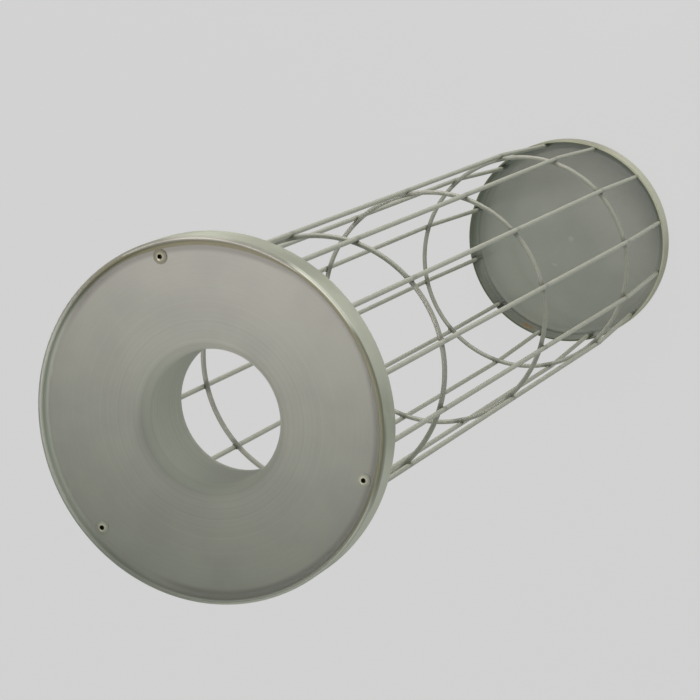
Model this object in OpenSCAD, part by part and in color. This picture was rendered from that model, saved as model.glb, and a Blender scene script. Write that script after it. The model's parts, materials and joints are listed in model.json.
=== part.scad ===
// Wire cage that holds a filter bag open in a baghouse. A ring of straight wires is welded to
// hoops, a pressed pan closes the bottom, and a spun venturi is riveted to a collar at the top.
// The cage stands upright on its pan: +Z is up, and the origin is the centre of the pan's underside.

/* [Cage] */
// Height from the pan's underside to the top of the venturi's rim
cage_h = 688; // [640:1:1200]
// Diameter of the circle through the wires' centres
wire_circle_d = 157; // [130:0.5:240]
// Number of wires around the cage
wire_count = 12; // [8:1:20]
// Diameter of a wire
wire_d = 3; // [2.5:0.1:4]
// How far the wires are drawn in to fit inside the pan
wire_draw_in = 4.7; // [2:0.1:9]
// Height above the pan's lip where a drawn-in wire turns upright again
wire_lip_gap = 1; // [0.5:0.1:10]
// Gap between a wire's top end and the underside of the venturi
wire_top_gap = 2; // [0.5:0.1:4]
// Gap between a wire and the sheet that it is welded to
weld_gap = 0.05; // [0.02:0.01:0.2]

/* [Rings] */
// Number of hoops
ring_count = 3; // [1:1:3]
// Height of the lowest hoop above the pan's underside
ring_first_h = 121; // [80:1:150]
// Distance from one hoop to the next
ring_pitch = 199.5; // [120:0.5:230]
// Diameter of a hoop's wire
ring_d = 3; // [2.5:0.1:4]
// How deep the weld presses a wire into a hoop
ring_setdown = 0.5; // [0.2:0.1:0.8]
// Distance below the lowest hoop where the wires start to draw in
ring_bend_gap = 8; // [5:0.5:20]

/* [Pan] */
// Height of the pan's lip
pan_lip_h = 16; // [10:0.5:30]
// Thickness of the pan's sheet
pan_sheet = 1.2; // [0.8:0.1:2]
// Outside radius of the bend between the pan's floor and its lip
pan_corner_r = 3; // [2.2:0.1:5]
// Gap between that bend and a wire's lower end
wire_foot_gap = 0.6; // [0.2:0.1:2]

/* [Venturi] */
// How far the skirt's outside lies beyond the circle through the wires' centres
flange_overhang = 21.5; // [20:0.5:40]
// Height of the skirt, from the rim's top to its lower edge
skirt_h = 18.5; // [14:0.5:40]
// Thickness of the spun sheet
venturi_sheet = 1.2; // [0.8:0.1:1.4]
// Gap inside the folded rim
fold_gap = 0.3; // [0.2:0.05:0.6]
// Depth of the face below the rim's top
face_drop = 4.6; // [4.4:0.1:8]
// Inside radius of the fillet between the rim and the face
rim_fillet_r = 2.6; // [1:0.1:2.6]
// Inside diameter of the throat
throat_d = 74; // [50:1:90]
// Radius of the bell mouth between the face and the throat
bell_r = 11; // [5:0.5:20]
// Depth of the throat's end below the rim's top
throat_drop = 50; // [40:1:90]

/* [Collar] */
// Height of the collar that the wires' top ends are welded to
collar_h = 12; // [8:0.5:20]
// Thickness of the collar's sheet
collar_sheet = 1.2; // [0.8:0.1:2]
// Inside radius of the collar's bend
collar_bend_r = 1.5; // [0.5:0.1:3]
// Distance from the rivets' circle to the collar's outer edge
collar_edge = 4.5; // [3.5:0.1:5.5]

/* [Rivets] */
// Direction of the first hand-drilled rivet, in degrees from the X axis
rivet_turn_1 = 0; // [-5:0.5:5]
// Direction of the second rivet
rivet_turn_2 = 123.5; // [115:0.5:125]
// Direction of the third rivet
rivet_turn_3 = 241; // [235:0.5:245]
// Distance from the skirt's outside to a rivet's axis
rivet_inset = 9; // [8.9:0.1:9.5]
// Diameter of a rivet's shank
rivet_d = 4; // [3.2:0.1:4.2]
// Clearance of the shank in its holes, on the diameter
rivet_clearance = 0.1; // [0.05:0.05:0.3]
// Gap under a rivet's head
rivet_seat_gap = 0.02; // [0.01:0.01:0.1]
// Diameter of a rivet's head
rivet_head_d = 7.4; // [6.4:0.1:7.4]
// Height of a rivet's head
rivet_head_h = 1; // [0.6:0.1:1.5]
// Thickness of the head at its edge
rivet_edge_h = 0.3; // [0.1:0.05:0.5]
// Diameter of the bulb on the blind side
rivet_bulb_d = 5.8; // [5.4:0.1:7]
// Height of the bulb
rivet_bulb_h = 2.4; // [1.6:0.1:2.8]
// Length of the sleeve past the bulb
rivet_tail_h = 1; // [0.5:0.1:3]
// Diameter of a mandrel's stem
mandrel_d = 2.4; // [1.8:0.1:2.6]
// Clearance of the stem in the rivet, on the diameter
mandrel_clearance = 0.06; // [0.02:0.02:0.2]
// Depth of the stem's broken end below the top of the head
mandrel_break_depth = 2.2; // [1:0.1:2.5]
// Diameter of a mandrel's head
mandrel_head_d = 3.5; // [3:0.1:3.8]
// Height of a mandrel's head
mandrel_head_h = 1.6; // [0.8:0.1:2]

/* [Hidden] */
$fn = 96;

// Heights of the venturi's section
rim_z = cage_h;
skirt_z = rim_z - skirt_h;
face_z = rim_z - face_drop;
throat_z = rim_z - throat_drop;
fold_w = 2 * venturi_sheet + fold_gap;
fold_z = rim_z - fold_w / 2;
fillet_z = face_z + rim_fillet_r;
bell_z = face_z - bell_r;

// Radii of the venturi's section, whose skirt stands outside the wires' circle
wire_circle_r = wire_circle_d / 2;
flange_r = wire_circle_r + flange_overhang;
throat_r = throat_d / 2;
bell_x = throat_r + bell_r;
fillet_x = flange_r - fold_w - rim_fillet_r;

// The wires stand on one circle and step in to a smaller one inside the pan
wire_end_r = wire_circle_r - wire_draw_in;
wire_top_z = face_z - venturi_sheet - wire_top_gap;
wire_foot_z = pan_corner_r + wire_foot_gap;
wire_bend_z = ring_first_h - ring_bend_gap;

// The drawn-in run slopes from one upright run to the other, and laps both at its corners
wire_lip_z = pan_lip_h + wire_lip_gap;
draw_h = wire_bend_z - wire_lip_z;
draw_angle = atan2(wire_draw_in, draw_h);
draw_l = norm([wire_draw_in, draw_h]);
corner_lap = wire_d / 3;

// The hoops lie inside the wires
ring_r = wire_circle_r - wire_d / 2 - ring_d / 2 + ring_setdown;

// The pan's lip and the collar lie outside the wires
pan_in_r = wire_end_r + wire_d / 2 + weld_gap;
pan_r = pan_in_r + pan_sheet;
collar_in_r = wire_circle_r + wire_d / 2 + weld_gap;
collar_top_z = face_z - venturi_sheet;
collar_bend_x = collar_in_r + collar_sheet + collar_bend_r;
collar_bend_z = collar_top_z - collar_sheet - collar_bend_r;

// The rivets go through the venturi's face and the collar's flange
rivet_turns = [rivet_turn_1, rivet_turn_2, rivet_turn_3];
rivet_circle_r = flange_r - rivet_inset;
collar_r = rivet_circle_r + collar_edge;
rivet_grip = venturi_sheet + collar_sheet;
rivet_bulb_z = -rivet_grip - 2 * rivet_seat_gap - rivet_bulb_h;
rivet_tail_z = rivet_bulb_z - rivet_tail_h;
rivet_dome_r = (pow(rivet_head_d / 2, 2) + pow(rivet_head_h - rivet_edge_h, 2))
    / (2 * (rivet_head_h - rivet_edge_h));
mandrel_top_z = rivet_head_h - mandrel_break_depth;

function numbered(stem, i) = str(stem, i < 10 ? "0" : "", i);
ring_names = [for (i = [1:ring_count]) numbered("ring_", i)];
wire_names = [for (i = [1:wire_count]) numbered("wire_", i)];

// Quarter of a bent sheet's section, from the X axis round to the Y axis, then turned
module quarter_bend(inside_r, sheet, turn) {
    rotate(turn)
        intersection() {
            difference() {
                circle(r = inside_r + sheet);
                circle(r = inside_r);
            }
            square(inside_r + sheet);
        }
}

// Copies of a shape on each rivet's axis, level with the underside of the rivet's head
module at_rivets() {
    for (turn = rivet_turns)
        rotate([0, 0, turn])
            translate([rivet_circle_r, 0, face_z + rivet_seat_gap])
                children();
}

// The rivets' holes through the face and the collar's flange
module rivet_holes() {
    at_rivets()
        translate([0, 0, -2 * rivet_grip])
            cylinder(h = 3 * rivet_grip, d = rivet_d + rivet_clearance);
}

// Pressed pan: a flat floor, and a lip that stands up around the wires' lower ends
module bottom_pan() {
    color("#7F847B")
        rotate_extrude() {
            square([pan_r - pan_corner_r, pan_sheet]);
            translate([pan_r - pan_corner_r, pan_corner_r])
                quarter_bend(pan_corner_r - pan_sheet, pan_sheet, -90);
            translate([pan_in_r, pan_corner_r])
                square([pan_sheet, pan_lip_h - pan_corner_r]);
        }
}

// Flanged collar: a wall around the wires' top ends, and a flange under the venturi's face
module top_collar() {
    color("#8C8F85")
        difference() {
            rotate_extrude() {
                translate([collar_in_r, collar_top_z - collar_h])
                    square([collar_sheet, collar_h - collar_sheet - collar_bend_r]);
                translate([collar_bend_x, collar_bend_z])
                    quarter_bend(collar_bend_r, collar_sheet, 90);
                translate([collar_bend_x, collar_top_z - collar_sheet])
                    square([collar_r - collar_bend_x, collar_sheet]);
            }
            rivet_holes();
        }
}

// Section of the venturi's sheet, from the skirt's edge over the rim and down the throat
module venturi_section() {
    translate([flange_r - venturi_sheet, skirt_z])
        square([venturi_sheet, fold_z - skirt_z]);
    translate([flange_r - fold_w / 2, fold_z]) {
        quarter_bend(fold_gap / 2, venturi_sheet, 0);
        quarter_bend(fold_gap / 2, venturi_sheet, 90);
    }
    translate([flange_r - fold_w, fillet_z])
        square([venturi_sheet, fold_z - fillet_z]);
    translate([fillet_x, fillet_z])
        quarter_bend(rim_fillet_r, venturi_sheet, -90);
    translate([bell_x, face_z - venturi_sheet])
        square([fillet_x - bell_x, venturi_sheet]);
    translate([bell_x, bell_z])
        quarter_bend(bell_r - venturi_sheet, venturi_sheet, 90);
    translate([throat_r, throat_z])
        square([venturi_sheet, bell_z - throat_z]);
}

// Spun venturi: skirt, folded rim, flat face, bell mouth and throat in one sheet
module venturi() {
    color("#A8A59D")
        difference() {
            rotate_extrude()
                venturi_section();
            rivet_holes();
        }
}

// Section of a set rivet: domed head, shank, bulb and sleeve, with the mandrel's bore
module rivet_section() {
    difference() {
        union() {
            square([rivet_head_d / 2, rivet_edge_h]);
            intersection() {
                translate([0, rivet_head_h - rivet_dome_r])
                    circle(r = rivet_dome_r);
                square([rivet_head_d / 2, rivet_head_h]);
            }
            translate([0, rivet_tail_z])
                square([rivet_d / 2, -rivet_tail_z]);
            translate([(rivet_bulb_d - rivet_bulb_h) / 2, rivet_bulb_z + rivet_bulb_h / 2])
                circle(d = rivet_bulb_h);
        }
        translate([-rivet_head_d, 2 * rivet_tail_z])
            square([rivet_head_d + (mandrel_d + mandrel_clearance) / 2, -4 * rivet_tail_z]);
    }
}

// Blind rivets that hold the venturi to the collar
module blind_rivets() {
    color("#B4AF9F")
        at_rivets()
            rotate_extrude()
                rivet_section();
}

// Broken-off mandrels that stay in the rivets
module rivet_mandrels() {
    color("#3A3A36")
        at_rivets() {
            translate([0, 0, rivet_tail_z])
                cylinder(h = mandrel_top_z - rivet_tail_z, d = mandrel_d);
            translate([0, 0, rivet_tail_z - mandrel_head_h])
                cylinder(h = mandrel_head_h, d1 = mandrel_d, d2 = mandrel_head_d);
        }
}

// Straight run of a wire on the wires' circle, where the hoops are welded
module wire_straight() {
    translate([wire_circle_r, 0, wire_bend_z - corner_lap])
        cylinder(h = wire_top_z - wire_bend_z + corner_lap, d = wire_d);
}

// One wire: straight down past the hoops, drawn in, and straight again inside the pan
module wire(i) {
    color("#96978C")
        rotate([0, 0, (i - 1) * 360 / wire_count]) {
            wire_straight();
            translate([wire_end_r, 0, wire_lip_z])
                rotate([0, draw_angle, 0])
                    translate([0, 0, -corner_lap])
                        cylinder(h = draw_l + 2 * corner_lap, d = wire_d);
            translate([wire_end_r, 0, wire_foot_z])
                cylinder(h = wire_lip_z - wire_foot_z + corner_lap, d = wire_d);
        }
}

// One hoop, with a shallow seat where each wire is pressed into it
module ring(i) {
    color("#85877D")
        difference() {
            translate([0, 0, ring_first_h + (i - 1) * ring_pitch])
                rotate_extrude()
                    translate([ring_r, 0])
                        circle(d = ring_d);
            for (k = [0:wire_count - 1])
                rotate([0, 0, k * 360 / wire_count])
                    wire_straight();
        }
}

bottom_pan();
top_collar();
venturi();
blind_rivets();
rivet_mandrels();
for (i = [1:ring_count])
    ring(i);
for (i = [1:wire_count])
    wire(i);
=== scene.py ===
# %% [markdown]
# A baghouse filter cage
#
# The cage holds a filter bag open while dusty air is drawn through the cloth. Twelve wires are welded to
# three hoops, a pressed pan closes the bottom, and a spun venturi is riveted on at the top. Its solids
# come from the shared frame, so this scene gives them their finishes, adds the weld metal that joins
# them, and sets the light and the camera.

# %% Load the frame
import json
import math

import bpy
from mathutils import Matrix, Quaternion, Vector


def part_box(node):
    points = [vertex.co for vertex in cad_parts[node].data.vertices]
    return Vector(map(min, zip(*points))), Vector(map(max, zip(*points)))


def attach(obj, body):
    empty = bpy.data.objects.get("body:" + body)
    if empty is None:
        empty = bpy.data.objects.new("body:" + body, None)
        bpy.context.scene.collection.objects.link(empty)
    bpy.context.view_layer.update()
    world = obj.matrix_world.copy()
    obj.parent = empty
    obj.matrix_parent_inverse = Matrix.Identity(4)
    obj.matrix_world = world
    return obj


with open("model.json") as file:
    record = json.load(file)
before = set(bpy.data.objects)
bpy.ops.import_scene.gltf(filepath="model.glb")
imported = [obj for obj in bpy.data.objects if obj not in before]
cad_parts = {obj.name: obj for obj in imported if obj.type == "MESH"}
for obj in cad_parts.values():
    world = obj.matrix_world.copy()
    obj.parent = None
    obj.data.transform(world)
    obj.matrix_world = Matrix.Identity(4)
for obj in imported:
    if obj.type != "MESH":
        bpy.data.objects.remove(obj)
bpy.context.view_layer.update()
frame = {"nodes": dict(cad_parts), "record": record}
MM = 0.001
nodes = frame["nodes"]
print("pieces from the frame:", len(nodes))

# %% [markdown]
# Measuring the cage
#
# The weld metal and the heat marks sit where the wires cross the hoops and meet the pan. Their places
# could be typed in again, but they would then stay behind if the part changed. They are measured from
# the pieces' boxes instead, in metres, as everything is here.

# %% Measure the wires and the hoops
wire_names = sorted(name for name in nodes if name.startswith("wire_"))
wire_low, wire_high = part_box("wire_01")
wire_d = wire_high[1] - wire_low[1]
wire_circle_r = wire_high[0] - wire_d / 2
wire_foot_r = wire_low[0] + wire_d / 2
wire_foot_z, wire_top_z = wire_low[2], wire_high[2]
wire_step = math.tau / len(wire_names)

hoop_names = sorted(name for name in nodes if name.startswith("ring_"))
hoop_boxes = [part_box(name) for name in hoop_names]
hoop_heights = [(low[2] + high[2]) / 2 for low, high in hoop_boxes]
hoop_pitch = hoop_heights[1] - hoop_heights[0]
hoop_low, hoop_high = hoop_boxes[0]
hoop_d = hoop_high[2] - hoop_low[2]
hoop_r = hoop_high[1] - hoop_d / 2
print(len(wire_names), "wires of", round(wire_d / MM, 2), "mm on a radius of", round(wire_circle_r / MM, 2))
print("hoops at", [round(z / MM, 1) for z in hoop_heights], "mm, radius", round(hoop_r / MM, 2))

# %% Measure the pan, the collar and the venturi
pan_low, pan_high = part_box("bottom_pan")
pan_r, pan_lip_z = pan_high[0], pan_high[2]
lip_inside_r = wire_foot_r + wire_d / 2
collar_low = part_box("top_collar")[0]
rim_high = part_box("venturi")[1]
rim_r, rim_z = rim_high[0], rim_high[2]
throat = next(mount for mount in frame["record"]["mounts"] if mount["name"] == "throat")
throat_r = throat["dims"]["r_mm"] * MM
throat_top_z = throat["pos_m"][2] + throat["dims"]["length_mm"] * MM / 2
print("radius of pan, rim and throat in mm:", [round(r / MM, 2) for r in (pan_r, rim_r, throat_r)])

# %% [markdown]
# The three rivets are one piece of the frame, so its box doesn't tell where each one is. Their axes could be
# typed in, but points of the mesh that lie close together belong to one rivet, so each group of points
# gives its own axis.

# %% Find the rivets
rivet_points = [vertex.co for vertex in nodes["blind_rivets"].data.vertices]
rivet_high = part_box("blind_rivets")[1]
first_head = [point.x for point in rivet_points if abs(point.y) < wire_d and point.x > 0]
rivet_head_r = (rivet_high[0] - min(first_head)) / 2
one_rivet = 4 * rivet_head_r
rivet_axes = []
for point in rivet_points:
    if all((point - axis).length > one_rivet for axis in rivet_axes):
        near = [other for other in rivet_points if (other - point).length < one_rivet]
        rivet_axes.append(Vector([(min(places) + max(places)) / 2 for places in zip(*near)]))
print(len(rivet_axes), "rivets with heads", round(2 * rivet_head_r / MM, 1), "mm across")

# %% [markdown]
# Three helpers
#
# A colour is read off a picture as a hex value in sRGB, but a renderer adds light up in linear values, so
# one function turns the first into the second. Another adds a node to any tree, with its settings and
# its links, which keeps each material short enough to read at a glance. The third starts a material
# on Object coordinates, which stay fixed to the piece when it is looked at from elsewhere.


# %% Colour, node and material helpers
def linear(hex_colour):
    """Linear RGBA of an sRGB hex colour."""
    channels = [int(hex_colour[i : i + 2], 16) / 255 for i in (1, 3, 5)]
    curve = [c / 12.92 if c <= 0.04045 else ((c + 0.055) / 1.055) ** 2.4 for c in channels]
    return (*curve, 1.0)


def add(tree, kind, inputs=None, **settings):
    """Add a node, set its properties, and link or set each of its inputs."""
    node = tree.nodes.new(kind)
    for name, value in settings.items():
        setattr(node, name, value)
    for key, value in (inputs or {}).items():
        if isinstance(value, bpy.types.NodeSocket):
            tree.links.new(value, node.inputs[key])
        else:
            node.inputs[key].default_value = value
    return node


def new_material(name):
    """An empty material, its tree, its Principled shader and its Object coordinates."""
    material = bpy.data.materials.new(name)
    material.use_nodes = True
    tree = material.node_tree
    shader = tree.nodes["Principled BSDF"]
    place = add(tree, "ShaderNodeTexCoord").outputs["Object"]
    return material, tree, shader, place


print("white paper in linear values:", [round(c, 3) for c in linear("#F0F0EC")[:3]])

# %% [markdown]
# The camera
#
# The picture was taken with a long lens from high above the venturi, almost down the cage's axis, with the
# camera rolled so that the cage lies across the frame. A camera could be placed by hand, but its
# place was worked out from the round rims and the hoops, so it is written here as a photographer
# would note it: where it aims, how far away it is, its two angles and its roll.

# %% Place the camera
aim = Vector((0, 0, 0.4738))
camera_distance = 1.6442
camera_azimuth = math.radians(44.66)
camera_elevation = math.radians(66.53)
camera_roll = math.radians(-116.72)

camera_data = bpy.data.cameras.new("camera")
camera_data.lens = 140.52
camera_data.sensor_width = 36
camera_data.clip_start = 0.05
camera = bpy.data.objects.new("camera", camera_data)
bpy.context.collection.objects.link(camera)

level_way = Vector((math.cos(camera_azimuth), math.sin(camera_azimuth), 0))
toward_camera = level_way * math.cos(camera_elevation) + Vector((0, 0, math.sin(camera_elevation)))
camera.location = aim + toward_camera * camera_distance
level = (-toward_camera).to_track_quat("-Z", "Y")
camera.rotation_mode = "QUATERNION"
camera.rotation_quaternion = level @ Quaternion((0, 0, 1), camera_roll)
bpy.context.scene.camera = camera
bpy.context.view_layer.update()

# %% [markdown]
# A render would show whether the camera stands right, but it takes half a minute, and where a point falls in
# the picture is only a sum. So two points that are easy to find in the picture are worked out here.


# %% See where the cage falls in the picture
def pixel(point):
    """Where a point of the scene falls in a picture of 700 by 700 pixels."""
    frame_pixels = 700
    local = camera.matrix_world.inverted() @ Vector(point)
    scale = frame_pixels * camera_data.lens / camera_data.sensor_width / -local.z
    return round(frame_pixels / 2 + local.x * scale, 1), round(frame_pixels / 2 - local.y * scale, 1)


print("rim's centre at", pixel((0, 0, rim_z)), "and pan's centre at", pixel((0, 0, 0)))

# %% [markdown]
# The floor
#
# The cage stands on a floor that fills the picture. A curved backdrop could do that, but one flat square is
# enough when it reaches far past the frame, also in low views. It lies just below the pan, because two
# faces at one height would flicker through each other.

# %% Lay the floor
bpy.context.scene.view_settings.view_transform = "Standard"
floor_mesh = bpy.data.meshes.new("floor")
floor_half, floor_z = 40.0, -0.4 * MM
corners = ((-1, -1), (1, -1), (1, 1), (-1, 1))
floor_mesh.from_pydata([(x * floor_half, y * floor_half, floor_z) for x, y in corners], [], [(0, 1, 2, 3)])
floor = bpy.data.objects.new("floor", floor_mesh)
bpy.context.collection.objects.link(floor)
print("floor of", 2 * floor_half, "m")

# %% [markdown]
# The floor is matt pale paper, which gives an even tone without a gleam. A bright lamp could make it pale,
# but that would bleach the cage too. So most of what the camera sees of it is a tone of its own, which
# mirrors see as well, and the rest is the light that falls on it, which keeps a soft shadow.

# %% Colour the floor
floor_paper, tree, shader, place = new_material("pale_paper_floor")
shader.inputs["Base Color"].default_value = linear("#C4C4C4")
shader.inputs["Roughness"].default_value = 0.9
shader.inputs["Specular IOR Level"].default_value = 0.1
even_share = 0.92
even_tone = add(tree, "ShaderNodeEmission", {"Color": linear("#D6D6D6"), "Strength": 1.0})
rays = add(tree, "ShaderNodeLightPath").outputs
seen = rays["Is Camera Ray"]
for ray in ("Is Glossy Ray", "Is Transmission Ray"):
    seen = add(tree, "ShaderNodeMath", {0: seen, 1: rays[ray]}, operation="MAXIMUM").outputs[0]
share = add(tree, "ShaderNodeMath", {0: seen, 1: even_share}, operation="MULTIPLY").outputs[0]
mixed = add(tree, "ShaderNodeMixShader", {0: share, 1: shader.outputs[0], 2: even_tone.outputs[0]})
tree.links.new(mixed.outputs[0], tree.nodes["Material Output"].inputs["Surface"])
floor_mesh.materials.append(floor_paper)
print("even share of the floor's tone:", even_share)

# %% [markdown]
# The light of the room
#
# Light comes from all round in a workshop, a little brighter from the window's side and tinted by the
# walls. A picture of a room could give it, but two tones are enough here, blended by how far
# a direction leans to the window.

# %% Light the world
world = bpy.data.worlds.new("workshop")
world.use_nodes = True
bpy.context.scene.world = world
tree = world.node_tree
direction = add(tree, "ShaderNodeTexCoord").outputs["Generated"]
window_side = (0.45, 0.89, 0.0)
leaning = {0: direction, 1: window_side}
lean = add(tree, "ShaderNodeVectorMath", leaning, operation="DOT_PRODUCT").outputs["Value"]
share = add(tree, "ShaderNodeMapRange", {"Value": lean, "From Min": -0.7, "From Max": 0.9}).outputs[0]
walls = {0: share, 6: linear("#B4BDAF"), 7: linear("#C6CFC3")}
tint = add(tree, "ShaderNodeMix", walls, data_type="RGBA").outputs[2]
background = tree.nodes["Background"]
tree.links.new(tint, background.inputs["Color"])
background.inputs["Strength"].default_value = 0.76
print("world light", round(background.inputs["Strength"].default_value, 2))

# %% [markdown]
# The lamps
#
# The flange is bright on one side and fades across to the other. A strong side lamp would do that too, but it
# would cut a hard shade into the bell, so a lamp high above is aimed past the flange, and the soft
# edge of its beam falls across the face. A long strip at the side draws a line of light along the
# wires, and a weak box beside the camera lifts the shaded parts.


# %% Hang the lamps
def hang(name, kind, place, target, watts, colour, **settings):
    """A lamp of one kind, turned to its target."""
    lamp = bpy.data.lights.new(name, kind)
    lamp.energy = watts
    lamp.color = linear(colour)[:3]
    for key, value in settings.items():
        setattr(lamp, key, value)
    holder = bpy.data.objects.new(name, lamp)
    holder.location = place
    holder.rotation_mode = "QUATERNION"
    holder.rotation_quaternion = (Vector(target) - Vector(place)).to_track_quat("-Z", "Y")
    bpy.context.collection.objects.link(holder)
    print(name, watts, "W at", [round(c, 2) for c in place])


lamp_place = (-0.36, -0.20, rim_z + 1.25)
beam_centre = (0.0, 0.385, rim_z)
beam = {"spot_size": math.radians(40), "spot_blend": 1.0, "shadow_soft_size": 0.15}
hang("soft_edged_lamp", "SPOT", lamp_place, beam_centre, 92.0, "#FFF4F6", **beam)
strip = {"shape": "RECTANGLE", "size": 1.4, "size_y": 0.3}
hang("level_strip", "AREA", (-0.6, 1.6, 0.66), (0, 0, 0.42), 15.0, "#FFFCF4", **strip)
box = {"shape": "RECTANGLE", "size": 1.0, "size_y": 1.0}
hang("fill_box", "AREA", (0.75, 0.75, 2.4), (0, 0, rim_z), 1.5, "#F3FFF5", **box)

# %% [markdown]
# Marks on metal
#
# Most of what tells used metal from new is a mark in one place: dirt in a corner, wear on an edge, a burn
# beside a weld. Painted light and painted shade are laid in the same way here. Marks could be painted into a
# picture, but here each one follows the cage's own round shape. So a mark is a tone laid over another one
# where some measures, such as the distance from the axis, the height or the side, are past their limits, and
# each limit has a soft edge.


# %% Helpers for marks
def away_from(tree, place, centre):
    """Distance of a point from an upright line through a centre."""
    off = add(tree, "ShaderNodeVectorMath", {0: place, 1: centre}, operation="SUBTRACT").outputs[0]
    level = add(tree, "ShaderNodeVectorMath", {0: off, 1: (1.0, 1.0, 0.0)}, operation="MULTIPLY").outputs[0]
    return add(tree, "ShaderNodeVectorMath", {0: level}, operation="LENGTH").outputs["Value"]


def side(tree, place, circle_r, degrees, gone, whole):
    """The limit of a mark on one side of a circle: how many degrees off its middle it is gone, and whole."""
    middle = (math.cos(math.radians(degrees)), math.sin(math.radians(degrees)), 0.0)
    ahead = add(tree, "ShaderNodeVectorMath", {0: place, 1: middle}, operation="DOT_PRODUCT").outputs["Value"]
    return ahead, circle_r * math.cos(math.radians(gone)), circle_r * math.cos(math.radians(whole))


def reach(tree, *limits, most=1.0):
    """How strongly a mark shows: each limit is a measure, where the mark is gone, and where it is whole."""
    strength = most
    for measure, gone, whole in limits:
        edge = {"Value": measure, "From Min": gone, "From Max": whole, "To Max": strength}
        strength = add(tree, "ShaderNodeMapRange", edge, interpolation_type="SMOOTHSTEP").outputs[0]
    return strength


def stain(tree, under, over, *limits, most=1.0):
    """A tone laid over another one, as strongly as the limits say."""
    # A tone is a hex value or a node's output, and a Mix node takes its two colours at inputs 6 and 7.
    first, second = (linear(tone) if isinstance(tone, str) else tone for tone in (under, over))
    tones = {0: reach(tree, *limits, most=most), 6: first, 7: second}
    return add(tree, "ShaderNodeMix", tones, data_type="RGBA").outputs[2]


def paint(material, names):
    """Give the named CAD nodes one material."""
    for name in names:
        slots = nodes[name].data.materials
        slots.clear()
        slots.append(material)
    print(material.name, "on", len(names), "pieces")


# %% [markdown]
# Spun aluminium for the venturi
#
# The venturi is a disc of aluminium sheet that was pushed over a turning form, and the tool left fine rings
# round the axis. An anisotropic shader could hint at them, but here they show as lines, so a noise
# that only knows the distance from the axis and the height draws them into the colour, the
# roughness and the bump. Weather and hands have dulled the face, which gives a broad soft sheen.

# %% Draw the spinning lines
spun_aluminium, tree, shader, place = new_material("spun_aluminium")
# The real lines are finer than a pixel of the picture, so they are drawn this coarse to show.
tool_line = 1.6 * MM
handling_mark = 38 * MM
radius = away_from(tree, place, (0, 0, 0))
height = add(tree, "ShaderNodeSeparateXYZ", {0: place}).outputs["Z"]
profile = add(tree, "ShaderNodeCombineXYZ", {"X": radius, "Y": height}).outputs[0]
spinning = {"Vector": profile, "Scale": 1 / tool_line, "Detail": 2.0, "Roughness": 0.6}
lines = add(tree, "ShaderNodeTexNoise", spinning, noise_dimensions="2D").outputs[0]
handling = {"Vector": place, "Scale": 1 / handling_mark, "Detail": 4.0, "Roughness": 0.55}
marks = add(tree, "ShaderNodeTexNoise", handling).outputs[0]
print("tool lines", round(tool_line / MM, 1), "mm apart")

# %% [markdown]
# The throat and the upper bell are painted paler than the face, most of all on one side: painted light that
# lifts the shade inside the throat. The lines fade towards the rim, where hands have rubbed them. Both could
# be brushed on by hand, but they follow the distance from the axis, so limits on it place them.

# %% Paint light into the throat and lay the lines over it
dull = stain(tree, "#A6A6A1", "#A0A09C", (marks, 0.35, 0.7))
# The throat wall is painted paler, most on one side, as painted light that lifts its shade.
throat_lift_tone = stain(tree, "#CACAC5", "#E8E8E2", side(tree, place, throat_r, -165, 90, 37), most=0.65)
bell_r, bell_z = throat_r + 10 * MM, throat_top_z + 10 * MM
deep = (height, bell_z, throat_top_z + 2 * MM)
face_and_throat_lift = stain(tree, dull, throat_lift_tone, deep, (radius, bell_r, throat_r + 3 * MM))
upper_bell = (radius, bell_r, throat_r + 6 * MM)
# The upper bell is painted a little paler on one side, as painted light.
face_and_throat_lift = stain(tree, face_and_throat_lift, "#E8E8E3", side(tree, place, throat_r, 135, 73, 26), upper_bell, most=0.12)
ringed = stain(tree, "#DCDCD8", "#FFFFFF", most=lines)
ringed = stain(tree, ringed, "#EFEFED", (radius, 45 * MM, 85 * MM), most=0.6)
layers = {0: 1.0, 6: face_and_throat_lift, 7: ringed}
spun = add(tree, "ShaderNodeMix", layers, data_type="RGBA", blend_type="MULTIPLY").outputs[2]
print("throat cleaned up to", round(bell_z / MM, 1), "mm")

# %% [markdown]
# The rim is folded back on itself, and the corner between the face and the fold is painted darker grey:
# painted shade, with some dirt. It could be an even ring, but it narrows on one side, and on another the
# bands of the fold shift inward, where its painted highlight and reflection sit further in. On one side the
# corner's shade is left off, and the fold's inner wall is painted in light and shade of its own, paler
# towards one end.


# %% Paint shade and dirt into the corner
def inward(mm):
    """A radius this far in from the rim's edge."""
    return rim_r - mm * MM


def below_rim(mm):
    """A height this far below the rim's top."""
    return rim_z - mm * MM


# The side where the corner's painted shade is left off and the inner wall is painted instead.
painted_wall_side = reach(tree, side(tree, place, rim_r, -143, 70, 37))
# The bands of the fold shift inward on one side, where its painted highlight and reflection sit further in.
band_shift = reach(tree, side(tree, place, rim_r, 105, 39, 14), most=2.3 * MM)
fold_r = add(tree, "ShaderNodeMath", {0: radius, 1: band_shift}, operation="ADD").outputs[0]
narrowing = reach(tree, side(tree, place, rim_r, 55, 37, 14), most=1.8 * MM)
corner_r = add(tree, "ShaderNodeMath", {0: fold_r, 1: narrowing}, operation="SUBTRACT").outputs[0]
corner_shade_edge = inward(8.2)
corner = ((corner_r, corner_shade_edge, inward(5.2)), (fold_r, inward(2.2), inward(2.6)))
# Painted shade, with some dirt, in the corner between the face and the fold.
shaded_and_soiled = stain(tree, spun, "#7F7E7B", *corner, (painted_wall_side, 1.0, 0.0), most=0.8)
wall = ((radius, inward(5.3), inward(3.2)), (radius, inward(1.0), inward(1.6)))
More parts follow.
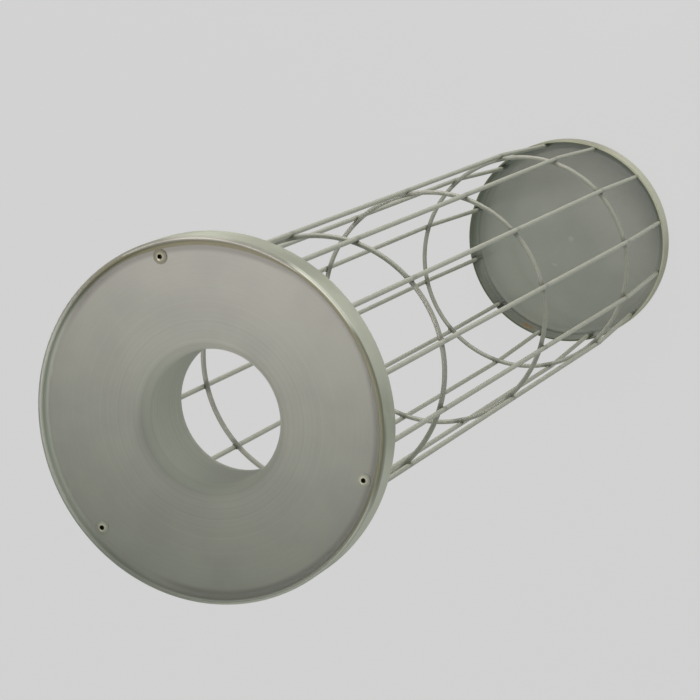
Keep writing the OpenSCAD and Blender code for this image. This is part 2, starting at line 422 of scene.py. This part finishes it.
# The inner wall there is painted in light and shade, paler towards one end.
wall_light_and_shade = stain(tree, "#8C8C87", "#BEBEB8", side(tree, place, rim_r, -170, 66, 18))
shaded_and_soiled = stain(tree, shaded_and_soiled, wall_light_and_shade, *wall, most=painted_wall_side)
print("dirt reaches in to", round(corner_shade_edge / MM, 1), "mm")

# %% [markdown]
# The face is darker in a ring round the head of one rivet, the oily one. On top of the fold, on one half of
# the rim only, an olive band is painted reflection: the dark reflection that the rounded fold shows there. So
# each mark has a side as well as a band.


# %% Darken round a rivet and paint a reflection on the fold
def from_rivets(tree, place):
    """Distance of a point from the nearest rivet's axis."""
    nearest = away_from(tree, place, rivet_axes[0])
    for axis in rivet_axes[1:]:
        gap = away_from(tree, place, axis)
        nearest = add(tree, "ShaderNodeMath", {0: nearest, 1: gap}, operation="MINIMUM").outputs[0]
    return nearest


oily_rivet_angle = 123.5
oily_rivet = side(tree, place, rim_r, oily_rivet_angle, 66, 53)
round_head = (from_rivets(tree, place), rivet_head_r + 0.9 * MM, rivet_head_r)
# The face is darker in a ring round the oily rivet's head.
ring_and_reflection = stain(tree, shaded_and_soiled, "#55544A", oily_rivet, round_head, most=0.7)
crest = ((fold_r, inward(3.9), inward(3.3)), (fold_r, inward(0.5), inward(0.8)))
# The olive band on top of the fold is a painted reflection.
ring_and_reflection = stain(tree, ring_and_reflection, "#76735C", *crest, side(tree, place, rim_r, 68, 108, 66), most=0.9)
print("oily rivet at", oily_rivet_angle, "degrees")

# %% [markdown]
# The outermost edge is worn smoother than the rest, and it is painted darker, with a painted highlight on one
# side. The skirt below it is painted paler than the face, and paler or greyer in patches by side, as painted
# light and shade. A mix by noise alone would put the patches anywhere, so each one is given its side: the
# middle of the patch, how far from there it is gone, and where it is whole.

# %% Wear the edge and paint light on it and on the skirt
edge = reach(tree, (fold_r, inward(0.8), inward(0.5)), (height, below_rim(2.0), below_rim(1.0)))
# The edge is painted darker, with a painted highlight on one side.
edge_tone_and_highlight = stain(tree, "#8A8981", "#A8A79E", side(tree, place, rim_r, 108, 15, 6))
wear_and_painted_light = stain(tree, ring_and_reflection, edge_tone_and_highlight, most=edge)
# The skirt is painted paler than the face, with paler and greyer patches by side: painted light and shade.
skirt_painted_light = stain(tree, "#B6B6AB", "#C8C8BD", (marks, 0.38, 0.62))
skirt_light_patches = (
    (83, 18, 8, "#8F8F84", 0.4),
    (-10, 26, 11, "#E6E3DB", 1.0),
    (42, 18, 6, "#E2E2D8", 0.5),
)
for degrees, gone, whole, tone, most in skirt_light_patches:
    skirt_painted_light = stain(tree, skirt_painted_light, tone, side(tree, place, rim_r, degrees, gone, whole), most=most)
skirt = ((radius, inward(0.4), inward(0.2)), (height, below_rim(1.0), below_rim(1.6)))
wear_and_painted_light = stain(tree, wear_and_painted_light, skirt_painted_light, *skirt)
print("patches on the skirt:", len(skirt_light_patches))

# %% [markdown]
# Four short lines of painted light and shade follow the rim: a grey painted shade under its edge, a painted
# highlight where the bend gleams, a pale painted reflection on the edge on the shaded side, and the end of
# the olive painted reflection on top. Strips of mesh could draw them, but they have no thickness of their
# own, so each is a stain with a band and a side.

# %% Paint the lines of light and shade on the rim
outside = (radius, inward(0.9), inward(0.6))
shade_line_foot = below_rim(5.4)
# A grey painted shade under the rim's edge.
shade_line = (outside, (height, shade_line_foot, below_rim(4.0)), side(tree, place, rim_r, 6, 17, 10))
wear_and_painted_light = stain(tree, wear_and_painted_light, "#96948A", *shade_line, most=0.65)
# A painted highlight where the bend gleams.
gleam = (outside, (height, below_rim(4.0), below_rim(2.6)), side(tree, place, rim_r, 63, 17, 8))
wear_and_painted_light = stain(tree, wear_and_painted_light, "#EAE9E0", *gleam, most=0.85)
# A pale painted reflection on the edge.
pale_edge_reflection = ((radius, inward(1.5), inward(1.1)), (height, below_rim(2.4), below_rim(1.6)))
wear_and_painted_light = stain(tree, wear_and_painted_light, "#C0C0BA", *pale_edge_reflection, side(tree, place, rim_r, -40, 46, 26))
# The end of the olive painted reflection on top of the fold.
top_reflection = ((radius, inward(2.6), inward(2.2)), (height, below_rim(2.6), below_rim(1.8)))
wear_and_painted_light = stain(tree, wear_and_painted_light, "#868471", *top_reflection, side(tree, place, rim_r, 22, 31, 14), most=0.85)
print("rim drawn down to", round(shade_line_foot / MM, 1), "mm")

# %% [markdown]
# The lines steer the shine as well: some are duller than others, and the worn edge is smoother than all of
# them and shows more bare metal. A normal map could carry the lines, but a bump from the same noise
# keeps colour, shine and relief in step.

# %% Finish the aluminium
dulling = {"Value": lines, "From Min": 0.2, "From Max": 0.8, "To Min": 0.68, "To Max": 0.78}
satin = add(tree, "ShaderNodeMapRange", dulling, interpolation_type="SMOOTHSTEP").outputs[0]
# A Mix node of plain numbers takes them at inputs 2 and 3.
smoother = add(tree, "ShaderNodeMix", {0: edge, 2: satin, 3: 0.5}).outputs[0]
baring = {"Value": edge, "To Min": 0.12, "To Max": 0.25}
bare_metal = add(tree, "ShaderNodeMapRange", baring, interpolation_type="SMOOTHSTEP").outputs[0]
ridges = add(tree, "ShaderNodeBump", {"Strength": 0.3, "Distance": 0.03 * MM, "Height": lines}).outputs[0]
tree.links.new(wear_and_painted_light, shader.inputs["Base Color"])
tree.links.new(smoother, shader.inputs["Roughness"])
tree.links.new(bare_metal, shader.inputs["Metallic"])
tree.links.new(ridges, shader.inputs["Normal"])
paint(spun_aluminium, ["venturi"])

# %% [markdown]
# Zinc-coated wire
#
# The wires and the hoops are drawn steel with a thin zinc coat. Drawing leaves long faint streaks and a
# slight ripple, which break up the line of light along each wire. A scratched normal map could show
# them, but at this size a soft noise is enough. One helper gives both the same skin.


# %% Make the skin of drawn wire
def draw_skin(tree, shader, place, streaks, shiny, dull):
    """Give drawn wire a sheen that follows its streaks, a faint ripple and a thin coat of zinc."""
    # Real ripples are closer together, and these are as coarse as they need to be to show.
    ripple = 8 * MM
    dulling = {"Value": streaks, "To Min": shiny, "To Max": dull}
    sheen = add(tree, "ShaderNodeMapRange", dulling, interpolation_type="SMOOTHSTEP").outputs[0]
    rippling = {"Vector": place, "Scale": 1 / ripple, "Detail": 0.0}
    ripples = add(tree, "ShaderNodeTexNoise", rippling).outputs[0]
    skin = add(tree, "ShaderNodeBump", {"Strength": 0.15, "Distance": 0.1 * MM, "Height": ripples}).outputs[0]
    tree.links.new(sheen, shader.inputs["Roughness"])
    tree.links.new(skin, shader.inputs["Normal"])
    shader.inputs["Metallic"].default_value = 0.25


def from_nearest(tree, measure, first, step):
    """How far a measure lies from the nearest one of an even row."""
    sums = (("SUBTRACT", first - step / 2), ("FLOORED_MODULO", step), ("SUBTRACT", step / 2))
    for operation, number in sums:
        measure = add(tree, "ShaderNodeMath", {0: measure, 1: number}, operation=operation).outputs[0]
    return add(tree, "ShaderNodeMath", {0: measure}, operation="ABSOLUTE").outputs[0]


burn_reach = 5.5 * MM
print("welds burn the zinc", round(burn_reach / MM, 1), "mm to each side")

# %% [markdown]
# Welding burns the zinc of an upright wire where it crosses a hoop, where it meets the pan's lip and where it
# goes up behind the collar. Each burn could be painted at its weld, but all wires are burnt at the same
# heights. So the burns are limits on the height, and the even spacing of the hoops finds all three
# crossings at once.

# %% Finish the wires
zinc_wire, tree, shader, place = new_material("zinc_coated_wire")
# Streaks are finer on the real wire too, and are drawn this coarse to show.
draw_streak = 9 * MM
lengthwise = (3.0, 3.0, 1.0)
stretched = add(tree, "ShaderNodeVectorMath", {0: place, 1: lengthwise}, operation="MULTIPLY").outputs[0]
streaking = {"Vector": stretched, "Scale": 1 / draw_streak, "Detail": 1.0}
streaks = add(tree, "ShaderNodeTexNoise", streaking).outputs[0]
height = add(tree, "ShaderNodeSeparateXYZ", {0: place}).outputs["Z"]
burns = (
    ((from_nearest(tree, height, hoop_heights[0], hoop_pitch), burn_reach, hoop_d / 2), 0.25),
    ((height, pan_lip_z + 2 * MM, pan_lip_z - 2 * MM), 0.75),
    ((height, collar_low[2] - 2 * MM, collar_low[2] + 2 * MM), 0.6),
)
burnt = stain(tree, "#B4B3AA", "#C9C8BE", most=streaks)
for limit, most in burns:
    burnt = stain(tree, burnt, "#55565A", limit, most=most)
# Well below the pan's lip the wires are painted darker, as painted shade.
shaded_in_pan = stain(tree, burnt, "#858A86", (height, pan_lip_z - 6 * MM, pan_lip_z - 9 * MM))
tree.links.new(shaded_in_pan, shader.inputs["Base Color"])
draw_skin(tree, shader, place, streaks, 0.42, 0.58)
paint(zinc_wire, wire_names)

# %% [markdown]
# A hoop is burnt beside each wire. The burns could be placed one by one, but the wires are evenly spaced, so
# the angle round the axis finds them all. The zinc is a little duller on the hoops, which were bent
# after they were drawn.


# %% Finish the hoops
def angle_from_wire(tree, place):
    """Angle round the axis from a point to the nearest wire."""
    parts = add(tree, "ShaderNodeSeparateXYZ", {0: place}).outputs
    angle = add(tree, "ShaderNodeMath", {0: parts["Y"], 1: parts["X"]}, operation="ARCTAN2").outputs[0]
    return from_nearest(tree, angle, 0.0, wire_step)


zinc_hoop, tree, shader, place = new_material("zinc_coated_hoop")
speckle = 5 * MM
streaks = add(tree, "ShaderNodeTexNoise", {"Vector": place, "Scale": 1 / speckle, "Detail": 1.0}).outputs[0]
beside_wire = (angle_from_wire(tree, place), burn_reach / hoop_r, wire_d / 2 / hoop_r)
bare = stain(tree, "#ACA9A3", "#BFBCB6", most=streaks)
tree.links.new(stain(tree, bare, "#56554F", beside_wire, most=0.45), shader.inputs["Base Color"])
draw_skin(tree, shader, place, streaks, 0.45, 0.6)
paint(zinc_hoop, hoop_names)

# %% [markdown]
# Zinc-coated sheet for the pan and the collar
#
# The pan is pressed from zinc-coated sheet, which looks cloudy and satin. Pressing dulled it in the bend at
# the foot of the lip, where the coat was stretched, so the bend hardly mirrors anything. A photographed
# texture would bring its own light along, so the clouds are a wide noise, and a narrow one is the
# grain, which also gives the sheen and the bump.

# %% Make the sheet's skin
zinc_sheet, tree, shader, place = new_material("zinc_coated_sheet")
smudge = 26 * MM
# Grains of zinc are finer than this on the real sheet, and are drawn this coarse to show.
grain = 1.6 * MM
clouds = add(tree, "ShaderNodeTexNoise", {"Vector": place, "Scale": 1 / smudge, "Detail": 4.0}).outputs[0]
grains = add(tree, "ShaderNodeTexNoise", {"Vector": place, "Scale": 1 / grain, "Detail": 2.0}).outputs[0]
radius = away_from(tree, place, (0, 0, 0))
height = add(tree, "ShaderNodeSeparateXYZ", {0: place}).outputs["Z"]
bend = ((radius, lip_inside_r - 7 * MM, lip_inside_r - 4 * MM), (radius, pan_r - 0.2 * MM, pan_r - 0.5 * MM))
bent = reach(tree, *bend)
dulling = {"Value": grains, "To Min": 0.40, "To Max": 0.56}
satin = add(tree, "ShaderNodeMapRange", dulling, interpolation_type="SMOOTHSTEP").outputs[0]
sheen = add(tree, "ShaderNodeMix", {0: bent, 2: satin, 3: 0.85}).outputs[0]
skin = add(tree, "ShaderNodeBump", {"Strength": 0.2, "Distance": 0.04 * MM, "Height": grains}).outputs[0]
tree.links.new(sheen, shader.inputs["Roughness"])
tree.links.new(skin, shader.inputs["Normal"])
tree.links.new(reach(tree, (bent, 1.0, 0.0), most=0.4), shader.inputs["Metallic"])
print("smudges", round(smudge / MM), "mm across")

# %% [markdown]
# The floor of the pan is painted paler on one side, as painted light, and darker near the lip on the other,
# as painted shade, and it has a pale pip at its centre and one scratch. The inside of the lip is painted
# darker, more towards its top and most on one side, as painted shade. One painted picture could hold all
# this, but as separate stains they are easy to move.


# %% Paint light and shade into the pan and mark it
def spot(tree, place, centre, half_sizes, most=1.0):
    """The strength of a soft round mark, which is gone at its edge."""
    inverse = tuple(1 / half for half in half_sizes)
    off = add(tree, "ShaderNodeVectorMath", {0: place, 1: centre}, operation="SUBTRACT").outputs[0]
    scaled = add(tree, "ShaderNodeVectorMath", {0: off, 1: inverse}, operation="MULTIPLY").outputs[0]
    length = add(tree, "ShaderNodeVectorMath", {0: scaled}, operation="LENGTH").outputs["Value"]
    return reach(tree, (length, 1.0, 0.3), most=most)


shaded_and_soiled = stain(tree, "#9E9E9B", "#AFAFAB", most=clouds)
# The floor is painted paler on one side, as painted light.
shaded_and_soiled = stain(tree, shaded_and_soiled, "#C1C1BC", side(tree, place, pan_r, -135, 96, 26), most=0.5)
near_lip = (radius, lip_inside_r - 30 * MM, lip_inside_r - 2 * MM)
# Near the lip on the other side it is painted darker, as painted shade.
shaded_and_soiled = stain(tree, shaded_and_soiled, "#767B76", side(tree, place, pan_r, 62, 73, 26), near_lip, most=0.55)
lip_foot_r = lip_inside_r - 3.4 * MM
on_lip = (
    (radius, lip_foot_r, lip_inside_r - 1.6 * MM),
    (radius, lip_inside_r + 0.7 * MM, lip_inside_r + 0.3 * MM),
)
# The inside of the lip is painted darker, more towards its top and most on one side, as painted shade.
lip_shading = {"Value": height, "From Min": 2 * MM, "From Max": 12 * MM, "To Min": 0.16, "To Max": 0.56}
lip_shade = add(tree, "ShaderNodeMapRange", lip_shading, interpolation_type="SMOOTHSTEP").outputs[0]
side_shade = reach(tree, side(tree, place, pan_r, -100, 57, 18), most=0.76)
darker = add(tree, "ShaderNodeMath", {0: lip_shade, 1: side_shade}, operation="MAXIMUM").outputs[0]
shaded_and_soiled = stain(tree, shaded_and_soiled, "#676B66", *on_lip, most=darker)
pip = ((0, 0, pan_low[2]), (3.4 * MM, 3.4 * MM, 4 * MM))
scratch = ((-6.5 * MM, -23.3 * MM, pan_low[2]), (4.2 * MM, 1.5 * MM, 4 * MM))
for centre, half_sizes in (pip, scratch):
    shaded_and_soiled = stain(tree, shaded_and_soiled, "#CFCFC9", most=spot(tree, place, centre, half_sizes, most=0.3))
print("lip soiled from a radius of", round(lip_foot_r / MM, 1), "mm")

# %% [markdown]
# Each wire's weld has burnt a blue-grey patch up the inside of the lip, and one weld has started to rust. The
# patches could be decals, but each follows a wire, so the angle that marks the hoops finds them too.
# Outside, the lip is bare zinc, painted paler on one side as painted light, and its cut edge is painted dark
# on the far side and bright on the near one, as painted shade and light.

# %% Burn and rust the lip and paint light on its outside
beside_wire = (angle_from_wire(tree, place), 3.6 * MM / pan_r, 1.4 * MM / pan_r)
burning = {"Value": height, "From Min": 6 * MM, "From Max": 9 * MM, "To Min": 0.24, "To Max": 0.8}
burn = add(tree, "ShaderNodeMapRange", burning, interpolation_type="SMOOTHSTEP").outputs[0]
marked = stain(tree, shaded_and_soiled, "#52565A", beside_wire, *on_lip, most=burn)
rust_angle, rust_height = math.radians(-99), 8 * MM
rust_place = (lip_inside_r * math.cos(rust_angle), lip_inside_r * math.sin(rust_angle), rust_height)
rust = spot(tree, place, rust_place, (9.0 * MM, 4.5 * MM, 7.0 * MM))
marked = stain(tree, marked, "#94714A", (grains, 0.3, 0.6), most=rust)
# The outside of the lip is bare zinc, painted paler on one side, as painted light.
outer_tone_and_light = stain(tree, "#B0AD9B", "#D6D4C2", side(tree, place, pan_r, 53, 41, 14))
marked = stain(tree, marked, outer_tone_and_light, (radius, pan_r - 0.5 * MM, pan_r - 0.2 * MM))
# The cut edge is painted bright on one side and dark on the other, as painted light and shade.
cut_light_and_shade = stain(tree, "#6C705C", "#C7C5B0", side(tree, place, pan_r, 45, 108, 60))
cut_edge = (
    (height, pan_lip_z - 0.6 * MM, pan_lip_z - 0.2 * MM),
    (height, pan_lip_z + 2 * MM, pan_lip_z + 1 * MM),
)
tree.links.new(stain(tree, marked, cut_light_and_shade, *cut_edge), shader.inputs["Base Color"])
print("rust at", [round(c / MM) for c in rust_place], "mm")
paint(zinc_sheet, ["bottom_pan", "top_collar"])

# %% [markdown]
# Rivets
#
# A blind rivet is a short tube of soft aluminium with a rolled head, satin and a little scuffed. One of the
# three is oily. When its mandrel was pulled, the mouth of the bore burred up into a bright ring. Beside each
# bore a brighter spot is painted light, where light would fall on the bore's far wall, and the bore is
# painted near black, as painted shade, since no light comes back out of it. The burr could be modelled, but
# it is finer than a pixel, so it is a tone, placed by the distance from the rivet's own axis.

# %% Finish the rivets
rivet_aluminium, tree, shader, place = new_material("rivet_aluminium")
scuff = 1.2 * MM
scuffs = add(tree, "ShaderNodeTexNoise", {"Vector": place, "Scale": 1 / scuff, "Detail": 2.0}).outputs[0]
plain = stain(tree, "#95948C", "#A3A29A", most=scuffs)
oily = stain(tree, "#6F6D5E", "#807E6E", most=scuffs)
oil = reach(tree, side(tree, place, rim_r, oily_rivet_angle, 66, 53))
head = stain(tree, plain, oily, most=oil)
from_axis = from_rivets(tree, place)
bore_r = 1.30 * MM
burr_r, burr_edge_r = 1.9 * MM, 2.8 * MM
burring = {"Value": oil, "To Min": 0.7, "To Max": 0.21}
burr = add(tree, "ShaderNodeMapRange", burring, interpolation_type="SMOOTHSTEP").outputs[0]
head = stain(tree, head, "#C4C1AE", (from_axis, burr_edge_r, burr_r), most=burr)
# A brighter spot beside each bore is painted light, where light would fall on the bore's far wall.
lit_spot_off_axis = Vector((-0.2 * MM, -1.7 * MM, 0))
lit_spot_half_sizes = (1.2 * MM, 0.9 * MM, 9 * MM)
for axis in rivet_axes:
    head = stain(tree, head, "#DCD9C6", most=spot(tree, place, axis + lit_spot_off_axis, lit_spot_half_sizes))
# The bore is painted near black, as painted shade.
head = stain(tree, head, "#12110E", (from_axis, bore_r + 0.12 * MM, bore_r))
tree.links.new(head, shader.inputs["Base Color"])
shader.inputs["Metallic"].default_value = 0.2
shader.inputs["Roughness"].default_value = 0.6
paint(rivet_aluminium, ["blind_rivets"])

# %% [markdown]
# Broken mandrels
#
# The steel mandrel inside each rivet snapped off below the head when the rivet was set. What is left is dark,
# rough and oxidised, and shows as the bottom of a dark hole. Plain black could do, but spots of oxide on
# dull metal keep a glint when light falls straight in.

# %% Finish the mandrels
mandrel_steel, tree, shader, place = new_material("oxidised_mandrel_steel")
oxide_spot = 0.8 * MM
oxide = add(tree, "ShaderNodeTexNoise", {"Vector": place, "Scale": 1 / oxide_spot, "Detail": 2.0}).outputs[0]
tree.links.new(stain(tree, "#1F1E1B", "#3A352E", most=oxide), shader.inputs["Base Color"])
shader.inputs["Metallic"].default_value = 0.6
shader.inputs["Roughness"].default_value = 0.7
paint(mandrel_steel, ["rivet_mandrels"])

# %% [markdown]
# Weld metal
#
# Each joint of the cage is a resistance weld: two pieces are pressed together while current melts them, and a
# little metal squeezes out into the corners, scorched and blotchy. Plain grey could stand for it, but
# a noise of dark and pale oxide shows the scorching, and most of it still mirrors as metal does.

# %% Finish the weld metal
weld_metal, tree, shader, place = new_material("burnt_weld_metal")
blotch = 1.4 * MM
blotches = add(tree, "ShaderNodeTexNoise", {"Vector": place, "Scale": 1 / blotch, "Detail": 3.0}).outputs[0]
tree.links.new(stain(tree, "#57554A", "#8A8775", most=blotches), shader.inputs["Base Color"])
shader.inputs["Metallic"].default_value = 0.8
shader.inputs["Roughness"].default_value = 0.5
print("blotches", round(blotch / MM, 1), "mm across")

# %% [markdown]
# The beads could be modelled one by one, but they all follow the circle of wires, so one Geometry Nodes tree
# makes them. A tree is a small program with inputs. Three sets of welds use it with different sizes, so
# each size is an input, which is set later by its identifier and not by its label.

# %% Name the weld tree's inputs
weld_tree = bpy.data.node_groups.new("weld_beads_round_the_axis", "GeometryNodeTree")
weld_inputs = (
    ("Rows", "NodeSocketInt"),
    ("First Height", "NodeSocketFloat"),
    ("Row Pitch", "NodeSocketFloat"),
    ("Beads Per Row", "NodeSocketInt"),
    ("Circle Radius", "NodeSocketFloat"),
    ("Bead Size", "NodeSocketVector"),
    ("Size Spread", "NodeSocketFloat"),
    ("Wander", "NodeSocketFloat"),
    ("Lump Height", "NodeSocketFloat"),
    ("Seed", "NodeSocketInt"),
    ("Metal", "NodeSocketMaterial"),
)
weld_sockets = {}
for label, kind in weld_inputs:
    weld_sockets[label] = weld_tree.interface.new_socket(label, in_out="INPUT", socket_type=kind).identifier
weld_tree.interface.new_socket("Geometry", in_out="OUTPUT", socket_type="NodeSocketGeometry")
print("weld tree inputs:", len(weld_sockets))

# %% [markdown]
# The places could be a list, but they are rings of points: a line of rows up the axis, with a circle on each.
# Each point then drifts a little, because a welder's electrodes never close twice at the same place.

# %% Set out the places of the beads
given = add(weld_tree, "NodeGroupInput").outputs
start = add(weld_tree, "ShaderNodeCombineXYZ", {"Z": given["First Height"]}).outputs[0]
rise = add(weld_tree, "ShaderNodeCombineXYZ", {"Z": given["Row Pitch"]}).outputs[0]
row_line = {"Count": given["Rows"], "Start Location": start, "Offset": rise}
rows = add(weld_tree, "GeometryNodeMeshLine", row_line).outputs[0]
row_circle = {"Vertices": given["Beads Per Row"], "Radius": given["Circle Radius"]}
circle = add(weld_tree, "GeometryNodeMeshCircle", row_circle).outputs[0]
rings = add(weld_tree, "GeometryNodeInstanceOnPoints", {"Points": rows, "Instance": circle}).outputs[0]
points = add(weld_tree, "GeometryNodeRealizeInstances", {0: rings}).outputs[0]
backwards = {0: given["Wander"], 1: (-1.0, -1.0, -1.0)}
furthest_back = add(weld_tree, "ShaderNodeVectorMath", backwards, operation="MULTIPLY").outputs[0]
drifting = {0: furthest_back, 1: given["Wander"], "Seed": given["Seed"]}
drift = add(weld_tree, "FunctionNodeRandomValue", drifting, data_type="FLOAT_VECTOR").outputs[0]
spread = add(weld_tree, "GeometryNodeSetPosition", {"Geometry": points, "Offset": drift}).outputs[0]
print("weld tree nodes so far:", len(weld_tree.nodes))

# %% [markdown]
# A fillet swept along the joint would look too neat, so a bead is a ball that is squeezed along the radius,
# round the hoop and along the wire. It is turned to face out from the axis, so that one size fits every
# place, and it comes out a little larger or smaller.

# %% Put a bead on each place
where = add(weld_tree, "GeometryNodeInputPosition").outputs[0]
flattening = {0: where, 1: (1.0, 1.0, 0.0)}
level_out = add(weld_tree, "ShaderNodeVectorMath", flattening, operation="MULTIPLY").outputs[0]
turning = {"Vector": level_out}
facing = add(weld_tree, "FunctionNodeAlignRotationToVector", turning, axis="X", pivot_axis="Z").outputs[0]
varying = {0: 1.0, 1: given["Size Spread"]}
smallest = add(weld_tree, "ShaderNodeMath", varying, operation="SUBTRACT").outputs[0]
largest = add(weld_tree, "ShaderNodeMath", varying, operation="ADD").outputs[0]
swelling = {2: smallest, 3: largest, "Seed": given["Seed"]}
swell = add(weld_tree, "FunctionNodeRandomValue", swelling, data_type="FLOAT").outputs[1]
scaling = {0: given["Bead Size"], "Scale": swell}
bead_scale = add(weld_tree, "ShaderNodeVectorMath", scaling, operation="SCALE").outputs[0]
ball = add(weld_tree, "GeometryNodeMeshIcoSphere", {"Radius": 1.0, "Subdivisions": 3}).outputs[0]
placing = {"Points": spread, "Instance": ball, "Rotation": facing, "Scale": bead_scale}
beads = add(weld_tree, "GeometryNodeInstanceOnPoints", placing).outputs[0]
solid = add(weld_tree, "GeometryNodeRealizeInstances", {0: beads}).outputs[0]
print("weld tree nodes so far:", len(weld_tree.nodes))

# %% [markdown]
# Melted metal sets in lumps. A sculpted bead could show them, but then all would be alike, so a noise that
# fills the space pushes each skin out and in. It can only push real points, which is why the instances
# were realized, and the tree ends with the material.

# %% Roughen the beads and coat them
lump_width = 1.3 * MM
lumping = {"W": given["Seed"], "Scale": 1 / lump_width, "Detail": 1.0}
lumps = add(weld_tree, "ShaderNodeTexNoise", lumping, noise_dimensions="4D").outputs[0]
signed = add(weld_tree, "ShaderNodeMath", {0: lumps, 1: 0.5}, operation="SUBTRACT").outputs[0]
rising = {0: signed, 1: given["Lump Height"]}
lump_height = add(weld_tree, "ShaderNodeMath", rising, operation="MULTIPLY").outputs[0]
outward = add(weld_tree, "GeometryNodeInputNormal").outputs[0]
pushing = {0: outward, "Scale": lump_height}
push = add(weld_tree, "ShaderNodeVectorMath", pushing, operation="SCALE").outputs[0]
lumpy = add(weld_tree, "GeometryNodeSetPosition", {"Geometry": solid, "Offset": push}).outputs[0]
smooth = add(weld_tree, "GeometryNodeSetShadeSmooth", {"Geometry": lumpy}).outputs[0]
coating = {"Geometry": smooth, "Material": given["Metal"]}
coated = add(weld_tree, "GeometryNodeSetMaterial", coating).outputs[0]
add(weld_tree, "NodeGroupOutput", {0: coated})
print("weld tree nodes:", len(weld_tree.nodes))

# %% [markdown]
# Welds on the hoops
#
# Every wire is welded to every hoop, so the tree makes one row of beads for each hoop, halfway between the
# middles of wire and hoop. The result is kept as a plain mesh, because the tree itself isn't exported.


# %% Weld the hoops
def make_welds(name, slot, **sizes):
    """Run the weld tree with these sizes and keep the result as a plain mesh."""
    holder = bpy.data.objects.new(name + "_tree", bpy.data.meshes.new(name + "_tree"))
    bpy.context.collection.objects.link(holder)
    modifier = holder.modifiers.new("welds", "NODES")
    modifier.node_group = weld_tree
    for label, value in sizes.items():
        modifier[weld_sockets[label.replace("_", " ")]] = value
    modifier[weld_sockets["Metal"]] = weld_metal
    graph = bpy.context.evaluated_depsgraph_get()
    mesh = bpy.data.meshes.new_from_object(holder.evaluated_get(graph), depsgraph=graph)
    holder.modifiers.remove(modifier)
    bpy.data.objects.remove(holder)
    mesh.name = name
    piece = bpy.data.objects.new(name, mesh)
    bpy.context.collection.objects.link(piece)
    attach(piece, "root")
    print(name, "faces:", len(mesh.polygons))


make_welds(
    "hoop_welds",
    "wire",
    Rows=len(hoop_names),
    First_Height=hoop_heights[0],
    Row_Pitch=hoop_pitch,
    Beads_Per_Row=len(wire_names),
    Circle_Radius=(wire_circle_r + hoop_r) / 2,
    Bead_Size=(1.0 * MM, 2.0 * MM, 1.9 * MM),
    Size_Spread=0.15,
    Wander=0.35 * MM,
    Lump_Height=0.6 * MM,
    Seed=4,
)

# %% [markdown]
# Welds in the pan
#
# The wires' feet stand inside the pan's lip and are welded along it. The hoops' round beads would stick out
# here, so these are tall and flat, and half sunk between the wire and the lip.

# %% Weld the pan
make_welds(
    "pan_welds",
    "wire",
    Rows=1,
    First_Height=(wire_foot_z + pan_lip_z) / 2,
    Row_Pitch=0.0,
    Beads_Per_Row=len(wire_names),
    Circle_Radius=lip_inside_r - 0.3 * MM,
    Bead_Size=(0.8 * MM, 2.3 * MM, 4.6 * MM),
    Size_Spread=0.12,
    Wander=0.2 * MM,
    Lump_Height=0.7 * MM,
    Seed=11,
)

# %% [markdown]
# Welds under the collar
#
# The upper ends of the wires are welded to the inside of the collar in the same way. The picture hides them,
# so they could be left out, but they show from below.

# %% Weld the collar
make_welds(
    "collar_welds",
    "wire",
    Rows=1,
    First_Height=(collar_low[2] + wire_top_z) / 2 - 1.5 * MM,
    Row_Pitch=0.0,
    Beads_Per_Row=len(wire_names),
    Circle_Radius=wire_circle_r + wire_d / 2 - 0.3 * MM,
    Bead_Size=(0.8 * MM, 2.3 * MM, 3.6 * MM),
    Size_Spread=0.12,
    Wander=0.2 * MM,
    Lump_Height=0.7 * MM,
    Seed=23,
)
